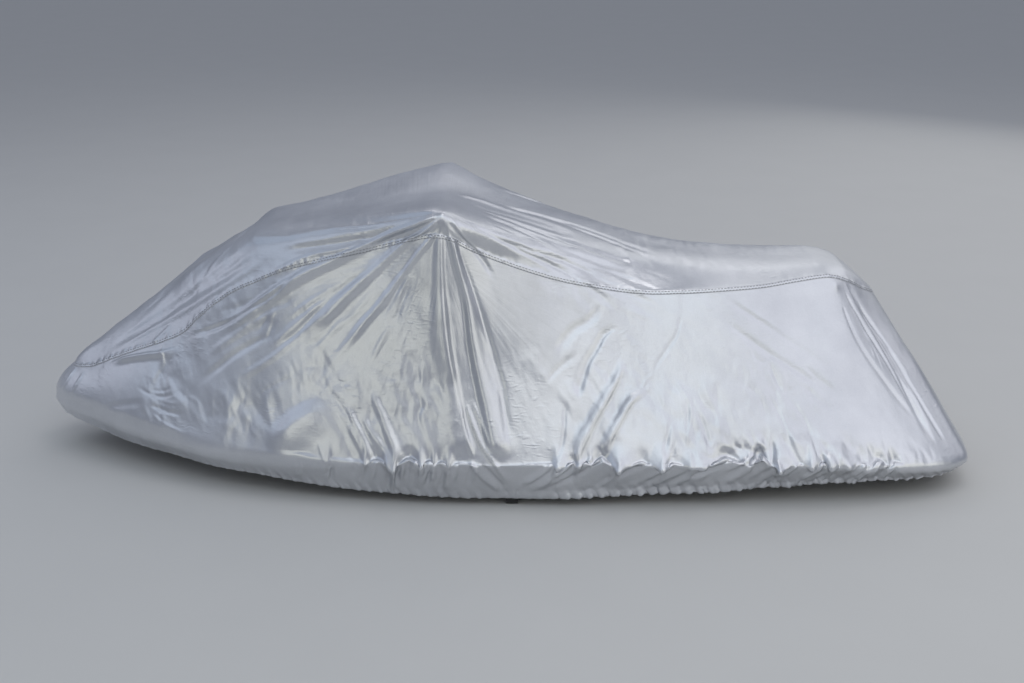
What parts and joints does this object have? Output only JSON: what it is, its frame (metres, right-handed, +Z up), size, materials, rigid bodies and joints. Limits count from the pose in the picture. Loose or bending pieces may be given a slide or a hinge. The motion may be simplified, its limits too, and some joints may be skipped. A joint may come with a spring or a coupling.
{
  "type": "personal watercraft cover",
  "caption": "Fitted hollow cover for a personal watercraft: a leaf-shaped top panel over side panels that turn under to a gathered elastic hem with webbing tabs.",
  "frame": {"origin": "under the middle of the cover's box, level with its lowest edge", "axes": "+X from the bow to the stern, -Y to port, +Z up"},
  "size_m": [3.0269, 1.1705, 0.8862],
  "materials": {
    "silver_cloth": "satin silver coating on a fine plain weave",
    "black_webbing": "matt woven webbing"
  },
  "bodies": {
    "root": {"top_panel": "silver_cloth", "port_panel": "silver_cloth", "starboard_panel": "silver_cloth", "port_tab": "black_webbing", "starboard_tab": "black_webbing"}
  },
  "joints": []
}
